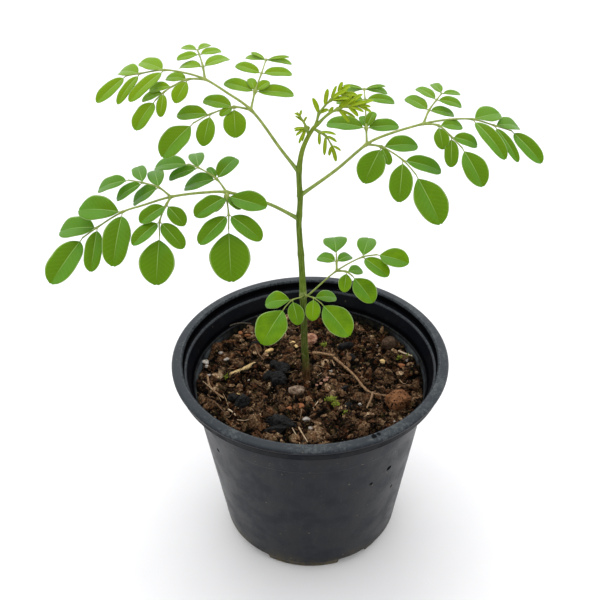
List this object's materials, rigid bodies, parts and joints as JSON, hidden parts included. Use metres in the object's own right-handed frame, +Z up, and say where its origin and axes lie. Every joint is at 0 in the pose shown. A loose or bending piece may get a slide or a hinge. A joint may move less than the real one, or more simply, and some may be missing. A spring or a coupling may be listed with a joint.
{
  "type": "potted moringa",
  "caption": "Young moringa tree with arching feathery fronds, standing in soil in a round black nursery pot.",
  "frame": {"origin": "centre of the pot's underside, on the surface that it stands on", "axes": "+Z up along the pot's axis, +X to the right and +Y away from the camera in the picture"},
  "size_m": [0.2428, 0.15, 0.2837],
  "materials": {
    "pot_plastic": "dull black with grey scuffs",
    "soil": "matt, crumbly",
    "stem": "satin green bark",
    "leaf": "soft satin",
    "young_leaf": "soft satin",
    "charcoal": "matt",
    "stone": "matt",
    "clay": "matt, porous",
    "clod": "matt",
    "twig": "matt",
    "straw": "satin"
  },
  "bodies": {
    "root": {"pot": "pot_plastic", "soil": "soil", "stem": "stem", "frond_lower_left": "leaf", "frond_upper_left": "leaf", "frond_upper_right": "leaf", "frond_low_right": "leaf", "leaf_front_left": "leaf", "leaf_front_right": "leaf", "young_frond_main": "young_leaf", "young_frond_upper": "young_leaf", "young_frond_drooping": "young_leaf", "young_frond_small": "young_leaf", "charcoal_lump_middle": "charcoal", "charcoal_lump_left": "charcoal", "charcoal_lump_front": "charcoal", "charcoal_lump_back": "charcoal", "stone": "stone", "clay_lump": "clay", "clod_right": "clod", "clod_back": "clod", "twig_long": "twig", "twig_short": "twig", "twig_left": "twig", "straw": "straw"}
  },
  "joints": []
}
